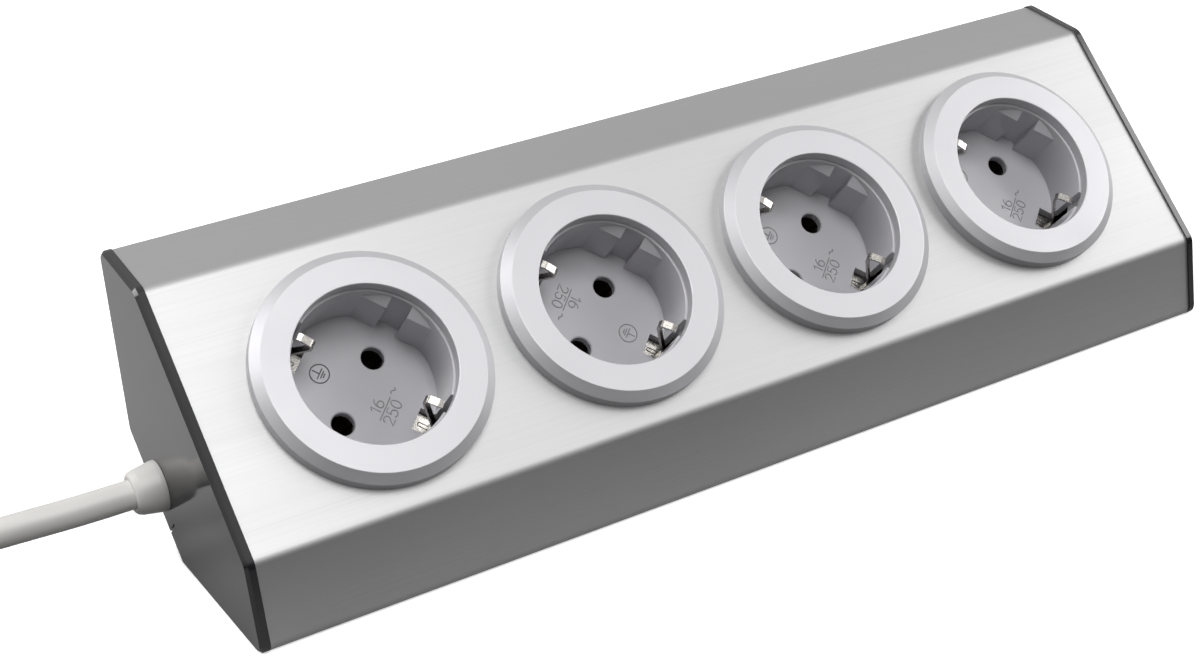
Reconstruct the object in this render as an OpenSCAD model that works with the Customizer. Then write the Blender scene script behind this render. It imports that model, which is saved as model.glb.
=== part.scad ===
// Surface mounted socket block: a bent steel front over a rear profile, closed by two end caps,
// with earthed sockets set in the slanted facet and a mains cable out of the left cap.
// Origin at the middle of the block's underside. +X runs to the right along the block, +Y to the
// wall behind it and +Z up. All sizes are in millimetres.

/* [Housing] */
// Distance from the middle of an end socket to the inside of its end cap
end_space = 43.1; // [40:0.1:80]
// Depth of the housing from its front edge to the wall
profile_d = 74.2; // [72:0.1:84]
// Height of the housing above the surface that it stands on
profile_h = 74.2; // [72:0.1:84]
// Depth of the top facet behind the slanted one
top_facet = 22.6; // [19:0.1:25]
// Height of the bottom facet below the slanted one
front_facet = 22.6; // [19:0.1:25]
// How far the top and bottom facets lean away from level and upright
facet_fall = 3; // [1:0.1:5]
// Distance from the slanted facet to the chamfer along the rear bottom edge
inner_depth = 48; // [46:0.1:52]
// Thickness of the front sheet
sheet_t = 1.2; // [0.8:0.1:1.5]
// Outer radius of the two bends beside the slanted facet
bend_r = 3.5; // [2:0.1:6]
// Outer radius of the bends at the wall and at the front bottom edge
edge_r = 2.5; // [1.8:0.1:4]
// Width of the front sheet's return lips
lip_w = 12; // [9:0.5:16]
// Wall of the rear profile
rear_t = 1.6; // [1.2:0.1:2]

/* [End caps] */
// Thickness of an end cap's plate
cap_t = 2.5; // [2:0.1:4]
// How far a cap stands out around the front sheet
cap_proud = 0.5; // [0.2:0.1:1]
// Bevel around a cap's outer face
cap_bevel = 0.8; // [0.4:0.1:1.2]
// Length of the locating rim inside the profile
rim_len = 8; // [5:0.5:10]
// Wall of the locating rim
rim_t = 1.6; // [1.2:0.1:2]
// Width of a snap lug on the rim
lug_w = 8; // [5:0.5:12]
// Length of a snap lug along the block
lug_len = 2; // [1.5:0.1:3]
// Length of the slit in the left cap's rear edge
slit_len = 6.5; // [4:0.1:8]
// Width of that slit
slit_w = 0.6; // [0.5:0.1:1]
// Place of that slit up the chamfer from its middle
slit_offset = -10; // [-12:0.5:12]

/* [Sockets] */
// Number of sockets
socket_count = 4; // [1:1:4]
// Distance between socket centres
socket_pitch = 65.6; // [62:0.1:68]
// Turn of the pin line against the block's length
socket_twist = 45; // [0:5:90]
// Distance between the two pin holes
pin_spacing = 19; // [18.8:0.1:19.2]
// Diameter of a pin hole in the recess floor
pin_hole_d = 5.8; // [5.2:0.1:6]
// Depth of the recess below the trim ring's top
recess_depth = 18; // [17.5:0.1:18.5]
// Diameter of the recess
recess_d = 38.8; // [38:0.1:40]
// Wall of the socket insert
insert_wall = 1.5; // [1.2:0.1:1.8]
// Thickness of the recess floor
floor_t = 2.4; // [2:0.1:3]
// Distance of the guide faces at both ends of the pin line
guide_span = 34; // [33.4:0.1:35]
// Width of the slot in each guide
guide_slot = 5.4; // [4.6:0.1:6]

/* [Trim rings] */
// Outer diameter of a trim ring
ring_d = 58.6; // [56:0.1:60]
// Outer diameter of its flat top
ring_flat_d = 53.8; // [50:0.1:55]
// Diameter of its bore
ring_bore_d = 40; // [39.6:0.1:41]
// Height of its top above the facet
ring_rise = 4.7; // [4:0.1:6]
// Height of its side below the bevel
ring_side = 2.9; // [2:0.1:3.5]
// Depth of the step that the insert's rim seats under
ring_step = 3; // [2.4:0.1:3.4]
// Wall of the ring's neck in the facet
neck_t = 1.8; // [1.4:0.1:2.2]
// Length of the neck below the facet
neck_len = 4.6; // [4:0.1:6]
// Height of the neck's snap bead
snap_h = 0.3; // [0.2:0.05:0.4]

/* [Contacts] */
// Thickness of the earth strip
strip_t = 0.6; // [0.5:0.1:0.8]
// Width of the earth strip
strip_w = 5; // [4.6:0.1:5.4]
// Width of an earth clip
clip_w = 1.9; // [1.6:0.1:3]
// Free distance between a pair of earth clips
clip_span = 28.2; // [27.6:0.1:29.2]
// Depth of the contact block below the recess floor
block_depth = 20.3; // [19.5:0.1:22]
// Inner diameter of a contact sleeve's throat
sleeve_d = 4.6; // [4.4:0.1:4.7]
// Wall of a contact sleeve
sleeve_t = 0.7; // [0.5:0.1:0.9]
// Width of the slits in a contact sleeve
sleeve_slit = 0.8; // [0.6:0.1:1]
// Width of a brass bar
bar_w = 6; // [5:0.1:7]
// Thickness of a brass bar
bar_t = 1; // [0.8:0.1:1.5]

/* [Cable] */
// Diameter of the mains cable
cable_d = 7.4; // [6.8:0.1:7.6]
// Diameter of each insulated wire inside it
wire_d = 2.8; // [2.4:0.1:3]
// Distance of the cable's centre line from the chamfer
gland_depth = 7.9; // [7.6:0.1:9]
// Diameter of the strain relief's collar at the cap
collar_d = 12.8; // [12:0.1:14]
// Length of the collar outside the cap
collar_len = 7.4; // [6:0.1:12]
// Wall of the strain relief's neck in the cap
gland_wall = 1.5; // [1.2:0.1:1.8]
// Diameter of the plug's body
plug_d = 37; // [36:0.5:39]
// Height of the plug's body
plug_h = 34; // [33:0.5:38]
// Diameter of a plug pin
pin_d = 4.8; // [4.7:0.05:4.9]
// Length of a plug pin
pin_len = 19; // [18.5:0.5:19.5]

/* [Fasteners] */
// Distance between the mounting holes
mount_spacing = 200; // [120:10:220]
// Diameter of a mounting hole
mount_d = 4.5; // [4:0.1:5.5]
// Thread diameter of the profile screws
profile_screw_d = 2.9; // [2.5:0.1:3]
// Thread diameter of the small screws inside
small_screw_d = 2.4; // [2:0.1:2.6]
// Clearance between pieces that fit together
fit_gap = 0.1; // [0.05:0.05:0.15]

/* [Hidden] */
SOCKETS = [1:socket_count];

// Smoothness of turned forms and steps in a rounded corner
$fn = 96;
corner_steps = 6;
// Overshoot of a cutting solid past the face that it cuts
past = 1;

steel = [0.80, 0.80, 0.81];
aluminium = [0.72, 0.73, 0.75];
graphite = [0.17, 0.17, 0.19];
silver = [0.82, 0.83, 0.86];
mid_grey = [0.66, 0.66, 0.68];
dark_plastic = [0.28, 0.28, 0.30];
nickel = [0.86, 0.85, 0.82];
brass = [0.80, 0.65, 0.32];
screw_steel = [0.62, 0.62, 0.64];
cable_grey = [0.83, 0.81, 0.77];

// The profiles' length between the end caps, half of it, and the wall's plane
profile_len = (socket_count - 1) * socket_pitch + 2 * end_space;
half_len = profile_len / 2;
wall_y = profile_d / 2;

// The profile's outline, seen from the right, anticlockwise from the top edge at the wall
top_edge = [wall_y, profile_h];
upper_bend = [wall_y - top_facet, profile_h - facet_fall];
lower_bend = [facet_fall - wall_y, front_facet];
front_edge = [-wall_y, 0];

// The slanted facet's middle and slope
facet_mid = (upper_bend + lower_bend) / 2;
facet_up = upper_bend - lower_bend;
facet_angle = atan2(facet_up[1], facet_up[0]);

// Leg of the chamfer, which keeps its distance from the facet
corner_depth = (wall_y - facet_mid[0]) * sin(facet_angle) + facet_mid[1] * cos(facet_angle);
chamfer = 2 * (corner_depth - inner_depth) / (sin(facet_angle) + cos(facet_angle));
chamfer_low = [wall_y - chamfer, 0];
chamfer_high = [wall_y, chamfer];
chamfer_mid = (chamfer_low + chamfer_high) / 2;
section = [top_edge, upper_bend, lower_bend, front_edge, chamfer_low, chamfer_high];

// A point of the section plane as [up the facet, out of the facet] from the facet's middle
function on_facet_plane(p) = [
    (p - facet_mid) * [cos(facet_angle), sin(facet_angle)],
    (p - facet_mid) * [-sin(facet_angle), cos(facet_angle)]
];

// Heights in a socket, measured out of the facet
floor_z = ring_rise - recess_depth;
insert_top = ring_rise - ring_step - fit_gap;
floor_under = floor_z - floor_t;
block_bottom = floor_z - block_depth - floor_t;
bar_under = block_bottom - bar_t;

// Radii in a socket
recess_r = recess_d / 2;
insert_r = recess_r + insert_wall;
neck_in_r = insert_r + fit_gap;
neck_r = neck_in_r + neck_t;
cutout_r = neck_r + 2 * fit_gap;
flange_in_r = neck_r + fit_gap;
flange_t = 3.4;
flange_r = flange_in_r + flange_t;
web_t = 2;
web_top = -neck_len - fit_gap;
skirt_len = 3;
skirt_z = floor_under - skirt_len;

// The rear profile's tongues behind the lips
tongue_gap = fit_gap;
tongue_out = sheet_t + tongue_gap;
tongue_in = tongue_out + rear_t;
tongue_stop = 4;
lip_line = lip_w + 2 * fit_gap;
wall_screw_in = (lip_w + tongue_stop) / 2;
wall_screw_x = [20 - half_len, 0, half_len - 20];

// End cap rim
rim_front = sheet_t + fit_gap;
rim_rear = tongue_in + fit_gap;
rim_chamfer = rear_t + fit_gap;
rim_gaps = [rim_front, rim_front, rim_front, rim_rear, rim_chamfer, rim_rear];
lug_from_cap = 5;
back_lug_z = (chamfer + profile_h - lip_line) / 2;
base_lug_u = (chamfer + profile_d - lip_line) / 2;
lug_sink = 0.4;

// Pin places and bars
pin_half = pin_spacing / 2;
bar_offset = pin_half * sin(socket_twist);
pin_along = pin_half * cos(socket_twist);
bar_reach = bar_w / 2 + 2;

// Earth strip under the recess floor, the windows over its ends, and the clips that stand there
strip_z = floor_under - strip_t / 2;
pivot = [insert_r - 0.8, strip_z];
foot_end = pivot[0] - strip_t / 2 - fit_gap / 2;
window_y = 15.4;
window_w = strip_w + 1;
clip_bend_z = floor_z + 0.4;
clip_nose = [clip_span / 2 + strip_t / 2, floor_z + 11.1];
tab_w = strip_w - 0.5;

// Contact sleeves and their chambers
sleeve_r = sleeve_d / 2 + sleeve_t;
chamber_r = sleeve_r + 1.1;
chamber_floor = block_bottom + 1.5;
stem_r = 1.5;
rivet_r = 2.3;
rivet_h = 0.8;

// Screws that hold a contact block to its insert, in the socket's own axes
block_screw_at = [12.5, 9.2];
boss_r = 2.6;
boss_len = 4;
screw_head_h = 1.8;
small_head_r = small_screw_d / 2 + 1.2;

// The cable's centre line in the section plane and seen from the facet
gland_at = chamfer_mid + gland_depth * [-1, 1] / sqrt(2);
gland_local = on_facet_plane(gland_at);
cable_r = cable_d / 2;
cable_bore_r = cable_r + fit_gap / 2;
neck_gland_r = cable_bore_r + gland_wall;
cap_hole_r = neck_gland_r + fit_gap / 2;
collar_r = collar_d / 2;
gland_flange_r = 5.8;
gland_flange_t = 2;
cap_out_x = half_len + cap_t;
clamp_len = 8;
clamp_start = rim_len + 1 - half_len;
sheath_end = clamp_start + clamp_len + 1;

// Clamp on the inside of the rear profile's chamfer
clamp_half_w = cable_r + 7;
clamp_screw_y = cable_r + 3.8;
strap_t = 2.2;

// Terminals under the bars, as places along the block
socket_1_x = -(socket_count - 1) / 2 * socket_pitch;
terminal_len = 7;
terminal_drop = 6.2;
terminal_w = bar_offset - 0.5;
terminal_x = socket_1_x - pin_along - rivet_r - terminal_len / 2 - 0.5;
terminal_y = [-bar_offset, bar_offset, 0];
terminal_mid = bar_under - terminal_drop / 2;
bar_start = terminal_x - terminal_len / 2 - 0.5;
wire_r = wire_d / 2;
terminal_bore_r = wire_r + fit_gap;

// Route of the cable from the left cap to the coil, a point for each ring: how far it is from the
// cap, how far it is behind the gland, and its height as a share of the gland's
coil_low = 3.8;
route_steps = [
    [0, 0, 1],
    [10, 0, 1],
    [21, 0.5, 0.99],
    [34, 2.5, 0.95],
    [48, 6.5, 0.83],
    [61, 11.5, 0.63],
    [71, 18, 0.39],
    [81, 23.5, 0.16],
    [89, 27.3, 0.03],
    [95, 28.5, 0],
    [102.6, 28.5, 0]
];
cable_route = [
    for (p = route_steps)
        [-cap_out_x - p[0], gland_at[0] + p[1], coil_low + (gland_at[1] - coil_low) * p[2]]
];

// Cable coil: two layers, wound in below and out above
coil_outer_r = 51;
coil_step = cable_d + 0.55;
route_end = cable_route[len(cable_route) - 1];
coil_centre = [route_end[0] - cable_d, route_end[1] - coil_outer_r];
coil_start = 90;
coil_turn = 5 * 360 + 43;
coil_rings = 24;
coil_tail = 19;
coil_mid = coil_turn / 2;
coil_inner_r = coil_outer_r - coil_step * coil_mid / 360;
coil_end = coil_start + coil_turn;
coil_end_dir = [-sin(coil_end), cos(coil_end), 0];

// Radius and height of the coil after a turn of a degrees, climbing a layer in the middle half turn
function coil_radius(a) = coil_inner_r + coil_step * abs(a - coil_mid) / 360;
function coil_climb(a) = min(1, max(0, (a - coil_mid + 90) / 180));
function coil_height(a) = coil_low + coil_step * (1 - cos(180 * coil_climb(a))) / 2;
function coil_point(a) = [
    coil_centre[0] + coil_radius(a) * cos(coil_start + a),
    coil_centre[1] + coil_radius(a) * sin(coil_start + a),
    coil_height(a)
];
coil_count = ceil(coil_turn / 360 * coil_rings);
coil_path = concat(
    [route_end],
    [for (i = [0:coil_count]) coil_point(coil_turn * i / coil_count)],
    [coil_point(coil_turn) + coil_end_dir * coil_tail]
);

// Distance of point p from the stretch between a and b
function to_stretch(p, a, b) =
    let (t = min(1, max(0, (p - a) * (b - a) / ((b - a) * (b - a)))))
    norm(p - a - (b - a) * t);

// Least gap of the coil to itself, over stretches more than a third of a loop apart
coil_gap = min([
    for (i = [0:len(coil_path) - 1])
        for (j = [0:len(coil_path) - 2])
            if (min(abs(i - j), abs(i - j - 1)) > coil_rings / 3)
                to_stretch(coil_path[i], coil_path[j], coil_path[j + 1])
]) - cable_d;
echo(least_coil_gap = coil_gap);

// The plug lies pins up where the coil's tail points
sleeve_len = 18;
plug_r = plug_d / 2;
plug_at = coil_path[len(coil_path) - 1] + coil_end_dir * (sleeve_len + plug_r);
plug_yaw = atan2(-coil_end_dir[1], -coil_end_dir[0]);
plug_axis_z = coil_low + coil_step;
sleeve_small_r = cable_r + 1.3;
sleeve_big_r = 6.5;

// Routes of the three wires from the cable's sheath to their terminals, in the facet's axes
wire_gap = 1.75;
wire_end = terminal_x + terminal_len / 2 - 1;
wire_in = terminal_x - terminal_len / 2;
function between(a, b, part) = a * (1 - part) + b * part;
function wire_point(from, y, part) = [
    between(sheath_end + 1, wire_in - 0.5, part),
    between(from[0], y, (1 - cos(180 * part)) / 2),
    between(from[1], terminal_mid, part)
];
function wire_route(from, y) = concat(
    [[sheath_end, from[0], from[1]]],
    [for (i = [0:5]) wire_point(from, y, i / 5)],
    [[wire_in, y, terminal_mid], [wire_end, y, terminal_mid]]
);

// Vector helpers
function unit(v) = v / norm(v);
function left_of(v) = [-v[1], v[0]];
function spin(v, a) = [v[0] * cos(a) - v[1] * sin(a), v[0] * sin(a) + v[1] * cos(a)];
function cross_z(a, b) = a[0] * b[1] - a[1] * b[0];
function backwards(list) = [for (i = [len(list) - 1:-1:0]) list[i]];

// The points of a corner at b, rounded to radius r
function round_corner(a, b, c, r) =
    r <= 0 ? [b] :
    let (
        back = unit(a - b),
        on = unit(c - b),
        opening = acos(back * on),
        middle = b + unit(back + on) * r / sin(opening / 2),
        first = b + back * r / tan(opening / 2) - middle,
        turn = (180 - opening) * sign(cross_z(b - a, c - b))
    )
    [for (k = [0:corner_steps]) middle + spin(first, turn * k / corner_steps)];

// A closed outline with each corner rounded to its own radius
function rounded(points, radii) = let (n = len(points)) [
    for (i = [0:n - 1])
        each round_corner(points[(i + n - 1) % n], points[i], points[(i + 1) % n], radii[i])
];

// An anticlockwise outline with each side moved inwards by its own gap
function inset(points, gaps) = let (n = len(points)) [
    for (i = [0:n - 1])
        let (
            b = points[i],
            n1 = left_of(unit(b - points[(i + n - 1) % n])),
            n2 = left_of(unit(points[(i + 1) % n] - b)),
            c1 = n1 * b + gaps[(i + n - 1) % n],
            c2 = n2 * b + gaps[i],
            det = cross_z(n1, n2)
        )
        [(c1 * n2[1] - c2 * n1[1]) / det, (n1[0] * c2 - n2[0] * c1) / det]
];

// Both sides of a strip of thickness t along an open path, mitred at its corners
function strip_side(path, gap) = [
    for (i = [0:len(path) - 1])
        let (
            n1 = left_of(unit(path[max(i, 1)] - path[max(i, 1) - 1])),
            n2 = left_of(unit(path[min(i + 1, len(path) - 1)] - path[min(i, len(path) - 2)]))
        )
        path[i] + (n1 + n2) * gap / (1 + n1 * n2)
];
function strip(path, t) = concat(strip_side(path, -t / 2), backwards(strip_side(path, t / 2)));

// An open path with its inner corners rounded
function rounded_path(path, radii) = [
    for (i = [0:len(path) - 1])
        each round_corner(
            path[max(i - 1, 0)],
            path[i],
            path[min(i + 1, len(path) - 1)],
            i == 0 || i == len(path) - 1 ? 0 : radii[i]
        )
];

// Extrudes a [y, z] outline along the block from x0
module along_x(x0, length) {
    translate([x0, 0, 0])
        rotate([90, 0, 90])
            linear_extrude(height = length)
                children();
}

// Places children on the slanted facet: x along the block, y up the facet, z out of it
module on_facet(x = 0) {
    translate([x, facet_mid[0], facet_mid[1]])
        rotate([facet_angle, 0, 0])
            children();
}

// Places children on the chamfer: x along the block, y up the chamfer, z into the housing
module on_chamfer(x) {
    translate([x, chamfer_mid[0], chamfer_mid[1]])
        rotate([45, 0, 0])
            children();
}

// Places children in socket k: x along its pin line, y along its earth clips, z out of the facet
module in_socket(k) {
    on_facet(socket_x(k))
        rotate([0, 0, socket_twist])
            children();
}
function socket_x(k) = socket_1_x + (k - 1) * socket_pitch;

// A tube of the given radius along points, one ring at each point
module tube(points, r, sides) {
    n = len(points);
    rings = [
        for (i = [0:n - 1])
            let (
                t = unit(points[min(i + 1, n - 1)] - points[max(i - 1, 0)]),
                side = unit(cross(t, [0, 0, 1])),
                up = cross(side, t)
            )
            for (j = [0:sides - 1])
                points[i] + r * (cos(360 * j / sides) * side + sin(360 * j / sides) * up)
    ];
    walls = [
        for (i = [0:n - 2])
            for (j = [0:sides - 1])
                let (
                    a = i * sides + j,
                    b = i * sides + (j + 1) % sides
                )
                each [[a, b, b + sides], [a, b + sides, a + sides]]
    ];
    first = [for (j = [1:sides - 2]) [0, j + 1, j]];
    last = [for (j = [1:sides - 2]) [(n - 1) * sides, (n - 1) * sides + j, (n - 1) * sides + j + 1]];
    polyhedron(points = rings, faces = concat(walls, first, last));
}

// A cylinder along the block, centred on the cable
module on_cable(x0, length, r) {
    translate([x0, gland_at[0], gland_at[1]])
        rotate([0, 90, 0])
            cylinder(h = length, r = r);
}

// A countersunk screw with its head's top at z = 0, pointing down
module countersunk_screw(d, length, head_h) {
    head_r = d / 2 + head_h;
    difference() {
        union() {
            translate([0, 0, -length])
                cylinder(h = length, r = d / 2);
            translate([0, 0, -head_h])
                cylinder(h = head_h, r1 = d / 2, r2 = head_r);
        }
        for (a = [0, 90])
            rotate([0, 0, a])
                translate([-head_r * 0.6, -d / 8, -head_h * 0.6])
                    cube([head_r * 1.2, d / 4, head_h]);
    }
}

// A pan head screw with the head's seat at z = 0, pointing down
module pan_screw(d, length, head_r, head_h) {
    difference() {
        union() {
            translate([0, 0, -length])
                cylinder(h = length + head_h / 2, r = d / 2);
            cylinder(h = head_h, r1 = head_r, r2 = head_r * 0.85);
        }
        for (a = [0, 90])
            rotate([0, 0, a])
                translate([-head_r * 0.6, -d / 8, head_h * 0.4])
                    cube([head_r * 1.2, d / 4, head_h]);
    }
}

// Places children at each profile screw, with z pointing out of the wall or the underside
module at_profile_screws() {
    for (x = wall_screw_x) {
        translate([x, wall_y, profile_h - wall_screw_in])
            rotate([-90, 0, 0])
                children();
        translate([x, wall_screw_in - wall_y, 0])
            rotate([180, 0, 0])
                children();
    }
}

// Places children at each mounting hole, with z pointing out of the wall or the underside
module at_mounts() {
    for (x = [-mount_spacing / 2, mount_spacing / 2]) {
        translate([x, wall_y, back_lug_z])
            rotate([-90, 0, 0])
                children();
        translate([x, wall_y - base_lug_u, 0])
            rotate([180, 0, 0])
                children();
    }
}

// Places children at height z at the two screws of a contact block, in the socket's own axes
module at_screw_places(z) {
    for (side = [1, -1])
        translate([side * block_screw_at[0], side * block_screw_at[1], z])
            children();
}

// Bent front sheet with a round cut-out for each socket
module front_profile() {
    inner = inset(section, [for (p = section) sheet_t]);
    lip_top = profile_h - lip_w;
    lip_front = lip_w - wall_y;
    outline = concat(
        [[wall_y, lip_top], section[0], section[1], section[2], section[3], [lip_front, 0]],
        [[lip_front, sheet_t], inner[3], inner[2], inner[1], inner[0], [wall_y - sheet_t, lip_top]]
    );
    edge_in = edge_r - sheet_t;
    bend_in = bend_r - sheet_t;
    radii = [0, edge_r, bend_r, bend_r, edge_r, 0, 0, edge_in, bend_in, bend_in, edge_in, 0];
    color(steel)
        difference() {
            along_x(-half_len, profile_len)
                polygon(rounded(outline, radii));
            for (k = SOCKETS)
                in_socket(k)
                    translate([0, 0, -sheet_t - past])
                        cylinder(h = sheet_t + 2 * past, r = cutout_r);
            at_profile_screws()
                screw_sink();
        }
}

// Countersunk hole for a profile screw, from just outside the lip
module screw_sink() {
    hole_r = profile_screw_d / 2 + fit_gap;
    translate([0, 0, -sheet_t - past])
        cylinder(h = sheet_t + 2 * past, r = hole_r);
    translate([0, 0, -sheet_t])
        cylinder(h = sheet_t, r1 = hole_r, r2 = hole_r + sheet_t);
}

// A point of the rear profile: inwards by t and a distance l from the rear bottom corner
function at_back(t, l) = [wall_y - t, l];
function at_base(t, l) = [wall_y - l, t];

// Rear profile: back wall, chamfer and base, stepped in behind the front sheet's lips
module rear_profile() {
    back_step = profile_h - lip_line;
    base_step = profile_d - lip_line;
    bend_l = chamfer + rear_t * (sqrt(2) - 1);
    outline = [
        at_base(tongue_out, profile_d - tongue_stop),
        at_base(tongue_out, base_step),
        at_base(0, base_step),
        at_base(0, chamfer),
        at_back(0, chamfer),
        at_back(0, back_step),
        at_back(tongue_out, back_step),
        at_back(tongue_out, profile_h - tongue_stop),
        at_back(tongue_in, profile_h - tongue_stop),
        at_back(tongue_in, back_step - rear_t),
        at_back(rear_t, back_step - rear_t),
        at_back(rear_t, bend_l),
        at_base(rear_t, bend_l),
        at_base(rear_t, base_step - rear_t),
        at_base(tongue_in, base_step - rear_t),
        at_base(tongue_in, profile_d - tongue_stop)
    ];
    radii = [0, 0, 0, 1.5, 1.5, 0, 0, 0, 0, 0, 0, 0, 0, 0, 0, 0];
    color(aluminium)
        difference() {
            along_x(-half_len, profile_len)
                polygon(rounded(outline, radii));
            at_profile_screws()
                translate([0, 0, -tongue_in - past])
                    cylinder(h = rear_t + past + tongue_gap, r = profile_screw_d / 2);
            at_mounts()
                translate([0, 0, -rear_t - past])
                    cylinder(h = rear_t + 2 * past, r = mount_d / 2);
            for (side = [-1, 1])
                translate([side * (half_len - lug_from_cap), 0, 0])
                    lugs(2 * fit_gap, past);
            on_chamfer(clamp_start + clamp_len / 2)
                for (side = [-1, 1])
                    translate([0, side * clamp_screw_y, -past])
                        cylinder(h = rear_t + 2 * past, r = small_screw_d / 2);
        }
}

// The two snap lugs of a cap, or their windows when grown and made longer
module lugs(grow, longer) {
    reach = rim_rear - lug_sink;
    translate([-lug_len / 2 - grow, wall_y - rim_rear - rim_t / 2, back_lug_z - lug_w / 2 - grow])
        cube([lug_len + 2 * grow, reach + rim_t / 2 + longer, lug_w + 2 * grow]);
    translate([-lug_len / 2 - grow, wall_y - base_lug_u - lug_w / 2 - grow, lug_sink - longer])
        cube([lug_len + 2 * grow, lug_w + 2 * grow, reach + rim_t / 2 + longer]);
}

// End cap on the right: a bevelled plate with a locating rim and two snap lugs
module end_cap() {
    around = [-cap_proud, -cap_proud, -cap_proud, 0, 0, 0];
    plate = rounded(inset(section, around), plate_radii(cap_proud));
    face = rounded(inset(section, [for (g = around) g + cap_bevel]), plate_radii(cap_proud - cap_bevel));
    rim_out = inset(section, rim_gaps);
    rim_in = inset(section, [for (g = rim_gaps) g + rim_t]);
    union() {
        along_x(half_len, cap_t - cap_bevel)
            polygon(plate);
        hull() {
            along_x(cap_out_x - cap_bevel - 0.01, 0.01)
                polygon(plate);
            along_x(cap_out_x - 0.01, 0.01)
                polygon(face);
        }
        difference() {
            along_x(half_len - rim_len, rim_len + cap_t / 2)
                polygon(rim_out);
            along_x(half_len - rim_len - past, rim_len + past)
                polygon(rim_in);
        }
        translate([half_len - lug_from_cap, 0, 0])
            lugs(0, 0);
    }
}

// Corner radii of the cap's plate, grown outwards by g from the profile's own
function plate_radii(g) = [edge_r + g, bend_r + g, bend_r + g, edge_r + g, 1.5 + g, 1.5 + g];

module end_cap_right() {
    color(graphite)
        end_cap();
}

// The left cap is the right one mirrored, with the cable's hole and the slit
module end_cap_left() {
    color(graphite)
        difference() {
            mirror([1, 0, 0])
                end_cap();
            on_cable(-cap_out_x - past, cap_t + 2 * past, cap_hole_r);
            on_cable(-half_len, rim_len + past, gland_flange_r + 1);
            on_chamfer(-cap_out_x - past)
                translate([0, slit_offset - slit_w / 2, -past])
                    cube([cap_t + 2 * past, slit_w, slit_len + past]);
        }
}

// Six countersunk screws through the lips into the rear profile's tongues
module profile_screws() {
    color(screw_steel)
        at_profile_screws()
            countersunk_screw(profile_screw_d - fit_gap, tongue_in + 1.5, sheet_t);
}

// Trim ring: a bevelled ring on the facet with a snap neck through the cut-out
module trim_ring(k) {
    step_z = ring_rise - ring_step;
    outline = [
        [ring_bore_d / 2, step_z],
        [neck_in_r, step_z],
        [neck_in_r, -neck_len],
        [neck_r, -neck_len],
        [neck_r + snap_h, -neck_len + 0.8],
        [neck_r + snap_h, -neck_len + 1.2],
        [neck_r, -neck_len + 2],
        [neck_r, 0],
        [ring_d / 2, 0],
        [ring_d / 2, ring_side],
        [ring_flat_d / 2, ring_rise],
        [ring_bore_d / 2, ring_rise]
    ];
    radii = [0, 0, 0, 0, 0, 0, 0, 0, 0, 0.3, 0.4, 0.3];
    color(silver)
        in_socket(k)
            rotate_extrude()
                polygon(rounded(outline, radii));
}

// Socket insert: the recess with its guides, clip slots and pin holes, and a flange behind the sheet
module socket_insert(k) {
    bead_top = -neck_len + 2.1;
    outline = [
        [0, floor_under],
        [recess_r, floor_under],
        [recess_r, skirt_z],
        [insert_r, skirt_z],
        [insert_r, web_top - web_t],
        [flange_r, web_top - web_t],
        [flange_r, -sheet_t],
        [flange_in_r, -sheet_t],
        [flange_in_r, bead_top],
        [flange_in_r + snap_h, bead_top - 0.9],
        [flange_in_r + snap_h, web_top],
        [insert_r, web_top],
        [insert_r, insert_top],
        [recess_r, insert_top],
        [recess_r, floor_z],
        [0, floor_z]
    ];
    radii = [0, 0, 0, 0, 0, 0, 0, 0, 0, 0, 0, 0, 0.2, 0.3, 0, 0];
    color(mid_grey)
        in_socket(k)
            difference() {
                union() {
                    rotate_extrude()
                        polygon(rounded(outline, radii));
                    for (side = [0, 180])
                        rotate([0, 0, side])
                            guide();
                    at_screw_places(floor_under - boss_len)
                        cylinder(h = boss_len + floor_t / 2, r = boss_r);
                }
                for (side = [0, 180])
                    rotate([0, 0, side]) {
                        clip_slot();
                        pin_hole();
                    }
                at_screw_places(floor_under - boss_len - past)
                    cylinder(h = boss_len + past + floor_t / 3, r = small_screw_d / 2);
            }
}

// One guide across the end of the pin line: a chord with a slot, chamfered at its top
module guide() {
    thick = recess_r - guide_span / 2;
    top = insert_top - 0.4;
    difference() {
        intersection() {
            translate([0, 0, floor_z - floor_t / 2])
                cylinder(h = top - floor_z + floor_t / 2, r = recess_r + insert_wall / 2);
            translate([guide_span / 2, -recess_r, floor_z - floor_t / 2])
                cube([thick + insert_wall, recess_d, recess_depth]);
        }
        translate([0, -guide_slot / 2, floor_z])
            cube([recess_r, guide_slot, recess_depth]);
        translate([guide_span / 2, -recess_r, top - thick])
            rotate([0, -45, 0])
                cube([3 * thick, recess_d, 3 * thick]);
    }
}

// Window in the floor over the earth strip's end, with a notch in the skirt below it and a
// narrower slot up the wall for the clip
module clip_slot() {
    intersection() {
        union() {
            translate([-window_w / 2, window_y, skirt_z - past])
                cube([window_w, insert_r, floor_z - skirt_z + 2 * past]);
            translate([-strip_w / 2, window_y, floor_z])
                cube([strip_w, insert_r, recess_depth + past]);
        }
        translate([0, 0, skirt_z - past])
            cylinder(h = recess_depth + floor_t + skirt_len + 2 * past, r = insert_r);
    }
}

// Pin hole with a small lead-in
module pin_hole() {
    lead = 0.3;
    translate([pin_half, 0, floor_under - past]) {
        cylinder(h = floor_t + 2 * past, r = pin_hole_d / 2);
        translate([0, 0, past + floor_t - lead])
            cylinder(h = lead + 0.01, r1 = pin_hole_d / 2, r2 = pin_hole_d / 2 + lead);
    }
}

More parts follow.
